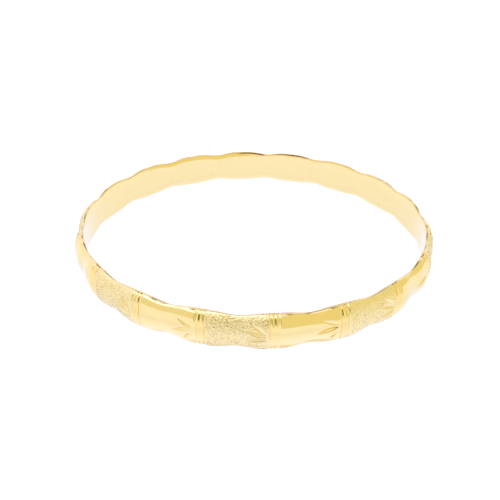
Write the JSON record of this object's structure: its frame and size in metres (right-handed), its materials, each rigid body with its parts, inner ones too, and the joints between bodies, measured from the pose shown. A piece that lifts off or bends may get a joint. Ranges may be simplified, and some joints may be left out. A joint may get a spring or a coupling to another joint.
{
  "type": "bangle bracelet",
  "caption": "Rigid slip-on bangle shaped like bamboo: waisted hollow segments, frosted and polished in turn and engraved with leaves, joined by slim knuckle rings over a flat liner.",
  "frame": {"origin": "on the bangle's axis, at the plane its lower edge rests on", "axes": "+Z along the bangle's axis, upwards as it lies flat; -Y through the middle of the first frosted internode"},
  "size_m": [0.0636, 0.0632, 0.0062],
  "materials": {
    "polished_gold": "mirror-polished yellow gold tone",
    "frosted_gold": "granular frosted yellow gold tone",
    "knuckle_gold": "polished yellow gold tone",
    "liner_gold": "smooth polished inner face"
  },
  "bodies": {
    "root": {"inner_liner": "liner_gold", "frosted_internode_01": "frosted_gold", "polished_internode_01": "polished_gold", "frosted_internode_02": "frosted_gold", "polished_internode_02": "polished_gold", "frosted_internode_03": "frosted_gold", "polished_internode_03": "polished_gold", "frosted_internode_04": "frosted_gold", "polished_internode_04": "polished_gold", "frosted_internode_05": "frosted_gold", "polished_internode_05": "polished_gold", "frosted_internode_06": "frosted_gold", "polished_internode_06": "polished_gold", "frosted_internode_07": "frosted_gold", "polished_internode_07": "polished_gold", "frosted_internode_08": "frosted_gold", "polished_internode_08": "polished_gold", "frosted_internode_09": "frosted_gold", "polished_internode_09": "polished_gold", "knuckle_ring_01": "knuckle_gold", "knuckle_ring_02": "knuckle_gold", "knuckle_ring_03": "knuckle_gold", "knuckle_ring_04": "knuckle_gold", "knuckle_ring_05": "knuckle_gold", "knuckle_ring_06": "knuckle_gold", "knuckle_ring_07": "knuckle_gold", "knuckle_ring_08": "knuckle_gold", "knuckle_ring_09": "knuckle_gold", "knuckle_ring_10": "knuckle_gold", "knuckle_ring_11": "knuckle_gold", "knuckle_ring_12": "knuckle_gold", "knuckle_ring_13": "knuckle_gold", "knuckle_ring_14": "knuckle_gold", "knuckle_ring_15": "knuckle_gold", "knuckle_ring_16": "knuckle_gold", "knuckle_ring_17": "knuckle_gold", "knuckle_ring_18": "knuckle_gold"}
  },
  "joints": []
}
